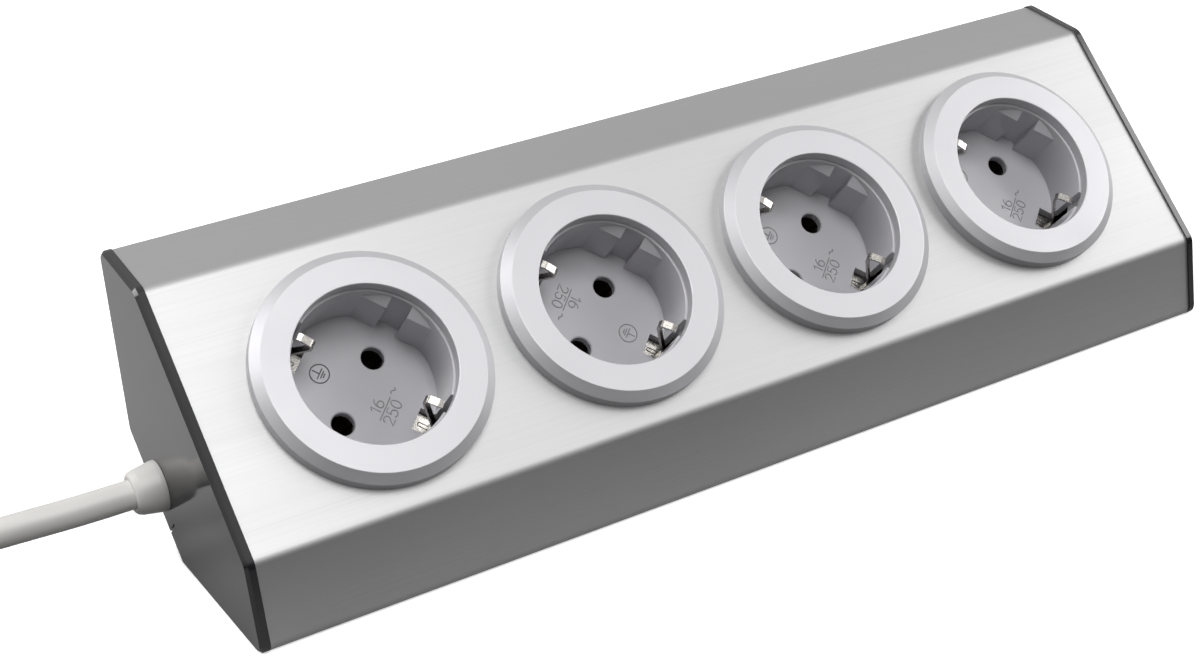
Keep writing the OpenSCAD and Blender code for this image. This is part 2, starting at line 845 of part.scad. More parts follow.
// Contact block under the recess floor, bored for two sleeves, the earth tab and two screws
module contact_block(k) {
    spigot_r = recess_r - fit_gap;
    outline = [
        [0, block_bottom],
        [insert_r, block_bottom],
        [insert_r, skirt_z - fit_gap],
        [spigot_r, skirt_z - fit_gap],
        [spigot_r, floor_under],
        [0, floor_under]
    ];
    radii = [0, 1, 0, 0, 0, 0];
    tab_gap = 2 * fit_gap;
    color(dark_plastic)
        in_socket(k)
            difference() {
                rotate_extrude()
                    polygon(rounded(outline, radii));
                for (side = [-1, 1])
                    translate([side * pin_half, 0, chamber_floor]) {
                        cylinder(h = recess_depth + block_depth, r = chamber_r);
                        translate([0, 0, -block_depth])
                            cylinder(h = block_depth + past, r = stem_r + fit_gap);
                    }
                translate([-strip_w / 2 - tab_gap, -insert_r, floor_under - strip_t - fit_gap])
                    cube([strip_w + 2 * tab_gap, 2 * insert_r, strip_t + past]);
                translate([-tab_w / 2 - tab_gap, -strip_t / 2 - tab_gap, block_bottom - past])
                    cube([tab_w + 2 * tab_gap, strip_t + 2 * tab_gap, block_depth + 2 * past]);
                at_screw_places(floor_under - boss_len - fit_gap)
                    cylinder(h = boss_len + past, r = boss_r + fit_gap);
                at_screw_places(block_bottom - past) {
                    cylinder(h = block_depth, r = small_screw_d / 2 + fit_gap);
                    cylinder(h = past + screw_head_h + 0.5, r = small_head_r + 2 * fit_gap);
                }
            }
}

// Earth bracket: one strip under the floor, lanced at both ends, with a tab to the earth bar
module earth_bracket(k) {
    tab_end = bar_under - rivet_h;
    color(nickel)
        in_socket(k) {
            difference() {
                translate([-strip_w / 2, -foot_end, floor_under - strip_t])
                    cube([strip_w, 2 * foot_end, strip_t]);
                for (side = [0, 180])
                    rotate([0, 0, side])
                        translate([0, 0, strip_z])
                            lance();
            }
            translate([-tab_w / 2, -strip_t / 2, tab_end])
                cube([tab_w, strip_t, strip_z - tab_end]);
        }
}

// U-shaped slit through the strip under a window, closed towards the middle
module lance() {
    slit = 0.25;
    lance_r = 0.6;
    from = window_y + 1.5;
    length = foot_end - 0.6 - from;
    linear_extrude(height = 2 * strip_t, center = true)
        difference() {
            lance_outline(lance_r, from, length);
            lance_outline(lance_r - slit, from, length + past);
        }
}

// A strip of half width r with a round end at y
module lance_outline(r, y, length) {
    translate([0, y])
        circle(r = r);
    translate([-r, y])
        square([2 * r, length]);
}

// Earth clip: a narrow spring leg that leans in to the plug, curls over and ends before the wall
module earth_clip() {
    path = [
        pivot,
        [pivot[0], clip_bend_z],
        clip_nose,
        [clip_nose[0] + 0.6, clip_nose[1] + 1.3],
        [pivot[0] - 2.5, clip_nose[1] + 1.8],
        [pivot[0] - 1.35, clip_nose[1] + 1.65]
    ];
    translate([-clip_w / 2, 0, 0]) {
        along_x(0, clip_w)
            polygon(strip(rounded_path(path, [0, 2, 1.2, 0.9, 1.5, 0]), strip_t));
        translate([0, pivot[0], pivot[1]])
            rotate([0, 90, 0])
                cylinder(h = clip_w, r = strip_t / 2);
    }
}

module earth_clip_upper(k) {
    color(nickel)
        in_socket(k)
            earth_clip();
}

module earth_clip_lower(k) {
    color(nickel)
        in_socket(k)
            rotate([0, 0, 180])
                earth_clip();
}

// Contact sleeve at one pin: flared mouth, narrow throat, slits and a stem riveted to its bar
module contact(side) {
    throat = sleeve_d / 2;
    mouth_z = floor_under - 1.2;
    waist_z = mouth_z - 3;
    foot_z = chamber_floor + 1;
    outline = [
        [0, chamber_floor],
        [stem_r, chamber_floor],
        [sleeve_r, chamber_floor],
        [sleeve_r + 0.3, foot_z],
        [sleeve_r, waist_z],
        [sleeve_r + 0.7, mouth_z],
        [throat + 0.7, mouth_z],
        [throat, waist_z],
        [throat + 0.3, foot_z],
        [0, foot_z]
    ];
    slit_top = recess_depth;
    slit_from = chamber_floor + 4;
    translate([side * pin_half, 0, 0]) {
        difference() {
            rotate_extrude()
                polygon(outline);
            for (a = [45, 135])
                rotate([0, 0, a])
                    translate([-sleeve_r - past, -sleeve_slit / 2, slit_from])
                        cube([2 * (sleeve_r + past), sleeve_slit, slit_top]);
        }
        translate([0, 0, bar_under - rivet_h / 2])
            cylinder(h = chamber_floor - bar_under + rivet_h, r = stem_r);
        translate([0, 0, bar_under - rivet_h])
            cylinder(h = rivet_h, r1 = rivet_r * 0.7, r2 = rivet_r);
    }
}

module line_contact(k) {
    color(brass)
        in_socket(k)
            contact(-1);
}

module neutral_contact(k) {
    color(brass)
        in_socket(k)
            contact(1);
}

// Two screws from below into each insert's bosses
module insert_screws() {
    head_seat = block_bottom + screw_head_h + 0.5;
    length = floor_under - head_seat;
    color(screw_steel)
        for (k = SOCKETS)
            in_socket(k)
                at_screw_places(head_seat)
                    mirror([0, 0, 1])
                        pan_screw(small_screw_d - fit_gap, length, small_head_r, screw_head_h);
}

// A brass bar under the contact blocks from x0 to x1, at y up the facet
module bar(x0, x1, y) {
    translate([x0, y - bar_w / 2, bar_under])
        cube([x1 - x0, bar_w, bar_t]);
}

// Holes for the contacts' stems, which sit at side of each socket's centre
module stem_holes(side) {
    for (k = SOCKETS)
        in_socket(k)
            translate([side * pin_half, 0, bar_under - past])
                cylinder(h = bar_t + 2 * past, r = stem_r + fit_gap / 2);
}

module line_bar() {
    last = socket_x(socket_count) - pin_along + bar_reach;
    color(brass)
        difference() {
            on_facet()
                bar(bar_start, last, -bar_offset);
            stem_holes(-1);
        }
}

module neutral_bar() {
    color(brass)
        difference() {
            on_facet()
                bar(bar_start, socket_x(socket_count) + pin_along + bar_reach, bar_offset);
            stem_holes(1);
        }
}

module earth_bar() {
    color(brass)
        difference() {
            on_facet()
                bar(bar_start, socket_x(socket_count) + tab_w, 0);
            for (k = SOCKETS)
                in_socket(k)
                    translate([-tab_w / 2 - fit_gap, -strip_t / 2 - fit_gap, bar_under - past])
                        cube([tab_w + 2 * fit_gap, strip_t + 2 * fit_gap, bar_t + 2 * past]);
        }
}

// Three cage terminals hanging from the bars at the cable's height
module bar_terminals() {
    color(brass)
        for (y = terminal_y)
            on_facet(terminal_x)
                difference() {
                    translate([-terminal_len / 2, y - terminal_w / 2, bar_under - terminal_drop])
                        cube([terminal_len, terminal_w, terminal_drop]);
                    translate([-terminal_len, y, terminal_mid])
                        rotate([0, 90, 0])
                            cylinder(h = 2 * terminal_len, r = terminal_bore_r);
                    translate([0, y, bar_under - terminal_drop - past])
                        cylinder(h = terminal_drop / 2 + past, r = small_screw_d / 2);
                }
}

// Their screws, which press on the wires
module terminal_screws() {
    tip = terminal_mid - wire_r;
    seat = bar_under - terminal_drop;
    color(screw_steel)
        for (y = terminal_y)
            on_facet(terminal_x)
                translate([0, y, seat])
                    mirror([0, 0, 1])
                        pan_screw(small_screw_d - fit_gap, tip - seat, small_head_r, 1.2);
}

// The cable's sheathed end between the left cap and the clamp
module inner_cable() {
    color(cable_grey)
        on_cable(-cap_out_x, cap_out_x + sheath_end, cable_r);
}

// A wire from the sheath's end at an offset round the cable's centre to terminal t
module wire(a, t) {
    from = [gland_local[0] + wire_gap * cos(a), gland_local[1] + wire_gap * sin(a)];
    on_facet()
        tube(wire_route(from, terminal_y[t]), wire_r, 8);
}

module wire_line() {
    color([0.42, 0.26, 0.16])
        wire(150, 0);
}

module wire_neutral() {
    color([0.16, 0.32, 0.66])
        wire(30, 1);
}

module wire_earth() {
    color([0.55, 0.68, 0.20])
        wire(270, 2);
}

// Places children over the clamp, with z = 0 on the cable's centre line
module on_clamp() {
    on_chamfer(clamp_start)
        translate([0, 0, gland_depth])
            children();
}

clamp_split = 0.6;
strap_top = cable_r + strap_t;

// Holes through the clamp: the cable's groove and two screws
module clamp_holes() {
    translate([-past, 0, 0])
        rotate([0, 90, 0])
            cylinder(h = clamp_len + 2 * past, r = cable_bore_r);
    for (side = [-1, 1])
        translate([clamp_len / 2, side * clamp_screw_y, -2 * strap_top])
            cylinder(h = 4 * strap_top, r = small_screw_d / 2 + fit_gap);
}

module clamp_base() {
    bottom = rear_t - gland_depth;
    color(dark_plastic)
        on_clamp()
            difference() {
                translate([0, -clamp_half_w, bottom])
                    cube([clamp_len, 2 * clamp_half_w, -clamp_split - bottom]);
                clamp_holes();
            }
}

module clamp_strap() {
    ear_top = strap_t;
    color(dark_plastic)
        on_clamp()
            difference() {
                union() {
                    translate([0, -clamp_half_w, clamp_split])
                        cube([clamp_len, 2 * clamp_half_w, ear_top]);
                    intersection() {
                        rotate([0, 90, 0])
                            cylinder(h = clamp_len, r = strap_top);
                        translate([0, -strap_top, clamp_split])
                            cube([clamp_len, 2 * strap_top, strap_top]);
                    }
                }
                clamp_holes();
            }
}

module clamp_screws() {
    head_seat = clamp_split + strap_t;
    color(screw_steel)
        on_clamp()
            for (side = [-1, 1])
                translate([clamp_len / 2, side * clamp_screw_y, head_seat])
                    pan_screw(
                        small_screw_d - fit_gap,
                        head_seat + gland_depth,
                        small_head_r,
                        screw_head_h
                    );
}

// Strain relief: a short tapered collar clipped into the left cap around the cable
module strain_relief() {
    inside = cap_t + gland_flange_t;
    outline = [
        [cable_bore_r, -collar_len],
        [collar_r - 1.8, -collar_len],
        [collar_r - 1.2, -collar_len + 0.5],
        [collar_r - 0.8, -collar_len + 1.6],
        [collar_r, -1],
        [collar_r, 0],
        [neck_gland_r, 0],
        [neck_gland_r, cap_t],
        [gland_flange_r, cap_t],
        [gland_flange_r - 0.4, inside],
        [cable_bore_r, inside]
    ];
    radii = [0, 0.3, 0.3, 0.6, 0.4, 0.2, 0, 0, 0, 0, 0];
    color(cable_grey)
        translate([-cap_out_x, gland_at[0], gland_at[1]])
            rotate([0, 90, 0])
                rotate_extrude()
                    polygon(rounded(outline, radii));
}

// The cable from the left cap down to the floor
module mains_cable() {
    color(cable_grey)
        tube(cable_route, cable_r, 12);
}

// The coiled rest of the cable, with its straight tail into the plug
module cable_coil() {
    color(cable_grey)
        tube(coil_path, cable_r, 6);
}

// Places children in the plug's axes: x back to the cable, y along the pins' line, z up
module at_plug() {
    translate([plug_at[0], plug_at[1], 0])
        rotate([0, 0, plug_yaw])
            children();
}

// The plug's part that goes into a recess, and its earth strips, which push the clips apart
plug_front = 15;
clip_push = 1.4;
earth_w = 6;
earth_t = 0.6;
earth_flat = clip_span / 2 + clip_push - earth_t;

// Plug body: a round earthed plug with a grip behind its front part and the cable out of its side
module plug_body() {
    disc = [
        [0, 0],
        [plug_r - 4, 0],
        [plug_r, 5],
        [plug_r - 0.8, plug_h - plug_front - 1],
        [plug_r, plug_h - plug_front],
        [plug_r, plug_h],
        [0, plug_h]
    ];
    sleeve = [
        [0, 0],
        [sleeve_big_r, 0],
        [sleeve_small_r, plug_r / 2 + sleeve_len],
        [0, plug_r / 2 + sleeve_len]
    ];
    guide_depth = 2.2;
    color(cable_grey)
        at_plug()
            difference() {
                union() {
                    rotate_extrude()
                        polygon(rounded(disc, [0, 3, 3, 0, 0, 1, 0]));
                    difference() {
                        translate([plug_r / 2, 0, plug_axis_z])
                            rotate([0, 90, 0])
                                rotate_extrude()
                                    polygon(sleeve);
                        for (i = [1:4])
                            translate([plug_r + 1 + i * 3, 0, plug_axis_z])
                                rotate([0, 90, 0])
                                    difference() {
                                        cylinder(h = 1.4, r = sleeve_big_r);
                                        translate([0, 0, -past])
                                            cylinder(h = 1.4 + 2 * past, r = sleeve_small_r - 0.8);
                                    }
                    }
                }
                for (side = [0, 180])
                    rotate([0, 0, side]) {
                        translate([earth_flat, -earth_w / 2 - 1, plug_h - plug_front])
                            cube([plug_r, earth_w + 2, plug_front + past]);
                        translate([-guide_slot / 2 - 0.5, plug_r - guide_depth, plug_h - plug_front])
                            cube([guide_slot + 1, plug_r, plug_front + past]);
                    }
            }
}

module plug_pins() {
    pin = [
        [0, 0],
        [pin_d / 2, 0],
        [pin_d / 2, pin_len],
        [0, pin_len]
    ];
    color(nickel)
        at_plug()
            for (side = [-1, 1])
                translate([0, side * pin_half, plug_h])
                    rotate_extrude()
                        polygon(rounded(pin, [0, 0, 1.6, 0]));
}

module plug_earth() {
    color(nickel)
        at_plug()
            for (side = [0, 180])
                rotate([0, 0, side])
                    translate([earth_flat, -earth_w / 2, plug_h - plug_front + 1])
                        cube([earth_t, earth_w, plug_front - 2]);
}

front_profile();
rear_profile();
end_cap_left();
end_cap_right();
profile_screws();
for (k = SOCKETS) {
    trim_ring(k);
    socket_insert(k);
    contact_block(k);
    earth_bracket(k);
    earth_clip_upper(k);
    earth_clip_lower(k);
    line_contact(k);
    neutral_contact(k);
}
insert_screws();
line_bar();
neutral_bar();
earth_bar();
bar_terminals();
terminal_screws();
inner_cable();
wire_line();
wire_neutral();
wire_earth();
clamp_base();
clamp_strap();
clamp_screws();
strain_relief();
mains_cable();
cable_coil();
plug_body();
plug_pins();
plug_earth();
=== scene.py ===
import bpy
import bmesh
import math
from mathutils import Matrix, Vector


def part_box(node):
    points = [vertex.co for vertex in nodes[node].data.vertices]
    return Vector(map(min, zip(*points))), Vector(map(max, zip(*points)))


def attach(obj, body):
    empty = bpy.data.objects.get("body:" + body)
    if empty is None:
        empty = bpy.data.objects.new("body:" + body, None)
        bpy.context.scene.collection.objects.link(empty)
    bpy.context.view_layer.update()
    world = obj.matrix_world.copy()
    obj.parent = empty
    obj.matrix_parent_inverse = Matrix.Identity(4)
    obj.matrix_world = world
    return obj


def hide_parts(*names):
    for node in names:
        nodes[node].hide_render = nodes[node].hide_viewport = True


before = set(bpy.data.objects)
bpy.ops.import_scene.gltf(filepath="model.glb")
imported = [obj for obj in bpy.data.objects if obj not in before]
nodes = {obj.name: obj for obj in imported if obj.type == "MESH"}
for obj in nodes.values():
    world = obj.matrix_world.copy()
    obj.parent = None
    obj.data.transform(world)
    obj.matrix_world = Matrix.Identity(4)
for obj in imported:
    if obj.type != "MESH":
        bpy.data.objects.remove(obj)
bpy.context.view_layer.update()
scene = bpy.context.scene

# The sizes below are in millimetres, and are scaled where Blender gets them
MM = 0.001
SOCKETS = (1, 2, 3, 4)
TURNED_SOCKET = 2

# Camera, solved from the photograph
CAM_AT = (-269.0, -411.6, 265.9)
CAM_RIGHT = (0.8509, -0.5227, -0.0528)
CAM_UP = (0.2712, 0.3512, 0.8962)
CAM_BACK = (-0.4499, -0.7768, 0.4405)
CAM_LENS = 62.48
SENSOR_WIDE = 36
CLIP_START = 10

# Lamps: direction, then distance, width and height in metres, and power in watts
LAMPS = {
    "key": ((-0.06, -0.50, 0.86), 2.0, 0.8, 1.3, 26),
    "right": ((0.87, -0.30, 0.40), 1.6, 1.0, 1.0, 14),
    "left": ((-0.68, 0.34, 0.62), 1.2, 0.8, 0.8, 10),
}
LAMPS_AIM = (0, 0, 30)

# Levels for diffuse rays, for the camera's own, and for glossy and transmitted ones
WORLD_LEVEL = (0.01, 1.0, 0.75)
PAPER_TONE = (0.16, 0.90, 0.42)
PAPER_GLOW = (0.0, 0.6, 0.0)

# Floor in reflections: painted shade far in front and painted light behind, seen only in reflections, with the
# ends of both changes along Y in metres
PAPER_FRONT_PAINTED_SHADE = 0.05
PAPER_BEHIND_PAINTED_LIGHT = 0.66
FRONT_SPAN = (-0.15, -0.04)
BEHIND_SPAN = (-0.04, 0.08)
# Floor for the camera: its glow far out, where the lamps don't reach, and the distances of that change
GLOW_FAR = 1.0
GLOW_SPAN = (0.7, 1.9)
FLOOR_HALF = 6
FLOOR_DROP = 0.05

# World in reflections: the share by which its low front is darker, and where that ends in Z and Y
FRONT_DARK = 0.92
DARK_SPAN_Z = (0.3, 0.62)
DARK_SPAN_Y = (-0.5, 0.1)

# Sockets: the middle of the slanted facet, the pin line's turn, and the recess floor's height
FACET_Y, FACET_Z = -9.8, 46.9
TWIST = math.radians(45)
FLOOR_AT = -13.3

# Marks in the axes of the pin line: a height or radius, a place, and half the width of a stroke
RATING_SIZE = 2.75
RATING_AT = (-1.28, -7.64)
EARTH_SIZE = 2.4
EARTH_AT = (-0.3, 10.0)
MARK_HALF = 0.17

# Cable, with the route's points as the solids have them
CABLE_R = 3.7
ROUTE = [
    (-144, 18.555, 18.545), (-154, 18.555, 18.545), (-165, 19.055, 18.398), (-178, 21.055, 17.808),
    (-192, 25.055, 16.038), (-205, 30.055, 13.089), (-215, 36.555, 9.551), (-225, 42.055, 6.159),
    (-233, 45.855, 4.242), (-239, 47.055, 3.8), (-246.6, 47.055, 3.8),
]
ROUTE_STEPS = 4
COIL_AT = (-254, -3.945)
COIL_OUTER = 51
COIL_STEP = 7.95
COIL_LOW = 3.8
COIL_START = 90
COIL_TURN = 5 * 360 + 43
COIL_MID = COIL_TURN / 2
COIL_INNER = COIL_OUTER - COIL_STEP * COIL_MID / 360
COIL_CLIMB = 180
COIL_POINT_STEP = 6
COIL_TAIL = 19
TAIL_STEPS = 4

# Ties round the coil: their angles, the strap, and the head and loose end on top of it
TIE_ANGLES = (200, 20)
TIE_WIDE = 4.6
TIE_THICK = 0.9
TIE_GAP = 0.03
TIE_FLOOR_GAP = 0.1
TIE_CORNER_STEPS = 8
TIE_HEAD = (5.4, 6.6, 3.4)
TIE_HEAD_RISE = 1.4
TIE_END_LEN = 12
TIE_END_SHIFT = 8
TIE_BEVEL = 0.2


# Helpers for pieces and places

def link_piece(name, data, body="housing"):
    """Puts a mesh or curve in the scene, and on its body if it has one."""
    obj = bpy.data.objects.new(name, data)
    scene.collection.objects.link(obj)
    if body:
        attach(obj, body)
    return obj


def mesh_piece(name, bm, body="housing"):
    """Turns a bmesh into a piece and frees it."""
    mesh = bpy.data.meshes.new(name)
    bm.to_mesh(mesh)
    bm.free()
    return link_piece(name, mesh, body)


def line_curve(name, paths, radius, closed=False, resolution=6):
    """A curve of round section along each path. The radius is on the points, so the curve's box is true."""
    curve = bpy.data.curves.new(name, "CURVE")
    curve.dimensions = "3D"
    curve.bevel_depth = 1
    curve.bevel_resolution = resolution
    curve.use_fill_caps = True
    for path in paths:
        spline = curve.splines.new("POLY")
        spline.points.add(len(path) - 1)
        for point, at in zip(spline.points, path):
            point.co = (*at, 1)
            point.radius = radius
        spline.use_cyclic_u = closed
        spline.use_smooth = True
    return curve


def socket_matrix(k):
    """Axes of socket k: x along the block, y up the facet, z out of it, from the facet's middle."""
    low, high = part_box(f"trim_ring_{k}")
    slope = math.sqrt(0.5)
    return Matrix((
        (1, 0, 0, (low[0] + high[0]) / 2),
        (0, slope, -slope, FACET_Y * MM),
        (0, slope, slope, FACET_Z * MM),
        (0, 0, 0, 1),
    ))


# Helpers for node trees

def join(tree, value, socket):
    """Sets a socket to a number or colour, or links another socket to it."""
    if isinstance(value, (int, float)):
        socket.default_value = value
    elif isinstance(value, tuple):
        socket.default_value = value + (1,)
    else:
        tree.links.new(value, socket)


def compute(tree, operation, *values):
    """A Math node on numbers or sockets."""
    node = tree.nodes.new("ShaderNodeMath")
    node.operation = operation
    for socket, value in zip(node.inputs, values):
        join(tree, value, socket)
    return node.outputs[0]


def span(tree, value, ends, low, high, smooth=True):
    """A value mapped from between two ends to between low and high, with a smooth step or in a line."""
    node = tree.nodes.new("ShaderNodeMapRange")
    if smooth:
        node.interpolation_type = "SMOOTHSTEP"
    for key, v in (("From Min", ends[0]), ("From Max", ends[1]), ("To Min", low), ("To Max", high)):
        node.inputs[key].default_value = v
    tree.links.new(value, node.inputs["Value"])
    return node.outputs["Result"]


def by_ray(tree, plain, camera, gloss):
    """A level that is plain for most rays, with others for the camera's rays and for glossy or clear ones."""
    way = tree.nodes.new("ShaderNodeLightPath")
    either = compute(tree, "MAXIMUM", way.outputs["Is Glossy Ray"], way.outputs["Is Transmission Ray"])
    level = plain
    for share, other in ((way.outputs["Is Camera Ray"], camera), (either, gloss)):
        if isinstance(other, (int, float)):
            more = other - plain
        else:
            more = compute(tree, "SUBTRACT", other, plain)
        level = compute(tree, "MULTIPLY_ADD", share, more, level)
    return level


class Surface:
    """One material's nodes, round its Principled BSDF. Object coordinates are in metres."""

    def __init__(self, name):
        self.mat = bpy.data.materials.new(name)
        self.mat.use_nodes = True
        self.tree = self.mat.node_tree
        self.bsdf = self.tree.nodes["Principled BSDF"]

    def place(self, scale=(1, 1, 1)):
        tex = self.tree.nodes.new("ShaderNodeTexCoord")
        mapping = self.tree.nodes.new("ShaderNodeMapping")
        mapping.inputs["Scale"].default_value = scale
        self.tree.links.new(tex.outputs["Object"], mapping.inputs["Vector"])
        return mapping.outputs["Vector"]

    def noise(self, scale, detail=2.0, roughness=0.5, stretch=(1, 1, 1)):
        node = self.tree.nodes.new("ShaderNodeTexNoise")
        for key, value in (("Scale", scale), ("Detail", detail), ("Roughness", roughness)):
            node.inputs[key].default_value = value
        self.tree.links.new(self.place(stretch), node.inputs["Vector"])
        return node.outputs["Fac"]

    def spread(self, value, ends, low, high):
        return span(self.tree, value, ends, low, high, smooth=False)

    def blend(self, factor, a, b):
        node = self.tree.nodes.new("ShaderNodeMix")
        node.data_type = "RGBA"
        join(self.tree, a, node.inputs["A"])
        join(self.tree, b, node.inputs["B"])
        self.tree.links.new(factor, node.inputs["Factor"])
        return node.outputs["Result"]

    def bump(self, height, strength, depth):
        node = self.tree.nodes.new("ShaderNodeBump")
        node.inputs["Strength"].default_value = strength
        node.inputs["Distance"].default_value = depth * MM
        self.tree.links.new(height, node.inputs["Height"])
        return node.outputs["Normal"]

    def finish(self, **values):
        """Sets the shader's sockets, and gives the material."""
        for key, value in values.items():
            join(self.tree, value, self.bsdf.inputs[key.replace("_", " ")])
        return self.mat


# Materials

MID = (0.3, 0.7)
NARROW = (0.35, 0.65)


def darker(colour, part):
    return tuple(c * (1 - part) for c in colour)


def brushed(name, colour, rough, vary, fine, coarse):
    """Metal brushed along X: fine streaks over broader ones, and faint patches in the sheen."""
    s = Surface(name)
    thin = s.noise(1.0, stretch=(22, fine, fine))
    broad = s.noise(1.0, 3.0, 0.6, stretch=(6, coarse, coarse))
    patches = s.noise(1.0, stretch=(9, 26, 26))
    grain = compute(s.tree, "ADD", compute(s.tree, "MULTIPLY", thin, 0.6), compute(s.tree, "MULTIPLY", broad, 0.4))
    tone = s.blend(s.spread(grain, MID, 0, 1), darker(colour, vary), colour)
    gloss = compute(
        s.tree, "ADD", s.spread(grain, MID, rough + 0.03, rough - 0.03), s.spread(patches, MID, -0.02, 0.02)
    )
    return s.finish(Base_Color=tone, Metallic=1.0, Roughness=gloss, Normal=s.bump(grain, 0.10, 0.03))


def plastic(name, colour, rough, skin=2600, depth=0.02, vary=0.06, metallic=0.0, ior=1.5):
    """Moulded or painted plastic: a fine skin, and a faint change of tone and gloss over the piece."""
    s = Surface(name)
    broad = s.noise(45)
    tone = s.blend(s.spread(broad, NARROW, 0, 1), darker(colour, vary), colour)
    gloss = s.spread(broad, MID, rough * 0.9, rough * 1.12)
    skin_bump = s.bump(s.noise(skin, 3.0, 0.6), 0.35, depth)
    return s.finish(Base_Color=tone, Metallic=metallic, IOR=ior, Roughness=gloss, Normal=skin_bump)


def metal(name, colour, rough, marks=900, vary=0.08):
    """Plated or bare metal with faint handling marks."""
    s = Surface(name)
    scuffs = s.noise(marks, 4.0, 0.65)
    tone = s.blend(s.spread(s.noise(180), NARROW, 0, 1), darker(colour, vary), colour)
    gloss = s.spread(scuffs, MID, rough * 0.75, rough * 1.35)
    return s.finish(Base_Color=tone, Metallic=1.0, Roughness=gloss, Normal=s.bump(scuffs, 0.15, 0.02))


steel = brushed("brushed_sheet", (0.425, 0.425, 0.425), rough=0.50, vary=0.07, fine=9000, coarse=2600)
aluminium = brushed("rear_aluminium", (0.56, 0.56, 0.57), rough=0.45, vary=0.08, fine=4200, coarse=1200)
graphite = plastic("graphite_plastic", (0.012, 0.011, 0.013), 0.10, skin=1400, depth=0.004, vary=0.15, ior=1.6)
silver = plastic("silver_paint", (0.51, 0.505, 0.525), 0.48, skin=5200, depth=0.008, vary=0.02, metallic=0.5)
grey = plastic("grey_plastic", (0.50, 0.495, 0.52), 0.16, skin=1800, depth=0.003, vary=0.03)
mark_grey = plastic("mark_paint", (0.10, 0.10, 0.11), 0.5, skin=3000, depth=0.008, vary=0.1)
relief_grey = plastic("relief_grey", (0.27, 0.265, 0.28), 0.4, skin=3000, depth=0.008, vary=0.05)
dark = plastic("dark_plastic", (0.035, 0.035, 0.038), 0.5, vary=0.1)
sheath = plastic("cable_sheath", (0.70, 0.69, 0.67), 0.42, skin=1500, depth=0.03, vary=0.04)
brown = plastic("wire_brown", (0.12, 0.045, 0.02), 0.4)
blue = plastic("wire_blue", (0.02, 0.08, 0.35), 0.4)
green = plastic("wire_green", (0.35, 0.42, 0.03), 0.4)
nickel = metal("nickel_plate", (0.52, 0.50, 0.47), 0.26, marks=1400, vary=0.15)
zinc = metal("zinc_steel", (0.56, 0.57, 0.59), 0.32)
brass = metal("brass", (0.72, 0.52, 0.22), 0.3)
# Contacts painted near black: painted shade standing in for the dark inside of the pin holes, not the metal's own
# colour
hole_shade_metal = metal("contact_painted_hole_shade", (0.10, 0.08, 0.06), 0.45)

# The material of each node, by the start of its name where several are alike
PAINT = {
    "front_profile": steel, "rear_profile": aluminium, "end_cap_left": graphite, "end_cap_right": graphite,
    "profile_screws": zinc, "insert_screws": zinc, "terminal_screws": zinc, "clamp_screws": zinc,
    "line_bar": brass, "neutral_bar": brass, "earth_bar": brass, "bar_terminals": brass,
    "clamp_base": dark, "clamp_strap": dark, "inner_cable": sheath, "strain_relief": sheath,
    "mains_cable": sheath, "cable_coil": sheath, "plug_body": sheath, "plug_pins": nickel, "plug_earth": nickel,
    "wire_line": brown, "wire_neutral": blue, "wire_earth": green,
}
PAINT_IN_SOCKET = {
    "trim_ring": silver, "socket_insert": grey, "contact_block": dark, "earth_bracket": nickel,
    "earth_clip_upper": nickel, "earth_clip_lower": nickel, "line_contact": hole_shade_metal, "neutral_contact": hole_shade_metal,
}
for k in SOCKETS:
    PAINT.update({f"{name}_{k}": material for name, material in PAINT_IN_SOCKET.items()})

SHARP_EDGE = math.radians(24)
for name, obj in nodes.items():
    obj.data.materials.clear()
    obj.data.materials.append(PAINT[name])
    obj.data.shade_smooth()
    obj.data.set_sharp_from_angle(angle=SHARP_EDGE)


# The cord: one curve from the left cap to the plug

def smooth_through(points, steps):
    """Points of a smooth curve through the given ones."""
    p = [Vector(q) for q in points]
    out = []
    for i in range(len(p) - 1):
        before, after = p[max(i - 1, 0)], p[min(i + 2, len(p) - 1)]
        lead_in, lead_out = (p[i + 1] - before) / 2, (after - p[i]) / 2
        for j in range(steps):
            t = j / steps
            out.append(
                p[i] * (2 * t**3 - 3 * t**2 + 1) + lead_in * (t**3 - 2 * t**2 + t)
                + p[i + 1] * (-2 * t**3 + 3 * t**2) + lead_out * (t**3 - t**2)
            )
    return out + [p[-1]]


def coil_point(a):
    """The cable's middle after a turn of a degrees: in below, out above."""
    r = COIL_INNER + COIL_STEP * abs(a - COIL_MID) / 360
    climb = min(1, max(0, (a - COIL_MID + COIL_CLIMB / 2) / COIL_CLIMB))
    z = COIL_LOW + COIL_STEP * (1 - math.cos(math.pi * climb)) / 2
    w = math.radians(COIL_START + a)
    return Vector((COIL_AT[0] + r * math.cos(w), COIL_AT[1] + r * math.sin(w), z))


def cord_path():
    """The cord's middle in metres: the route, the coil, and a straight tail into the plug."""
    steps = math.ceil(COIL_TURN / COIL_POINT_STEP)
    points = smooth_through(ROUTE, ROUTE_STEPS) + [coil_point(COIL_TURN * i / steps) for i in range(steps + 1)]
    end = math.radians(COIL_START + COIL_TURN)
    tail = Vector((-math.sin(end), math.cos(end), 0)) * COIL_TAIL
    points += [points[-1] + tail * i / TAIL_STEPS for i in range(1, TAIL_STEPS + 1)]
    return [p * MM for p in points]


def add_block(bm, middle, size):
    """A block with its middle and size given, as part of a mesh."""
    for v in bmesh.ops.create_cube(bm, size=1)["verts"]:
        v.co = Vector([at + share * length for at, share, length in zip(middle, v.co, size)])


def tie_outline(near, far, top):
    """Rounded outline round the bundle's section: places, and the directions out of it."""
    left, right = near + CABLE_R, far - CABLE_R
    low, high = CABLE_R + TIE_FLOOR_GAP, top - CABLE_R
    for x, z, start in ((right, high, 0), (left, high, 90), (left, low, 180), (right, low, 270)):
        for i in range(TIE_CORNER_STEPS + 1):
            a = math.radians(start + i * 90 / TIE_CORNER_STEPS)
            yield x, z, math.cos(a), math.sin(a)


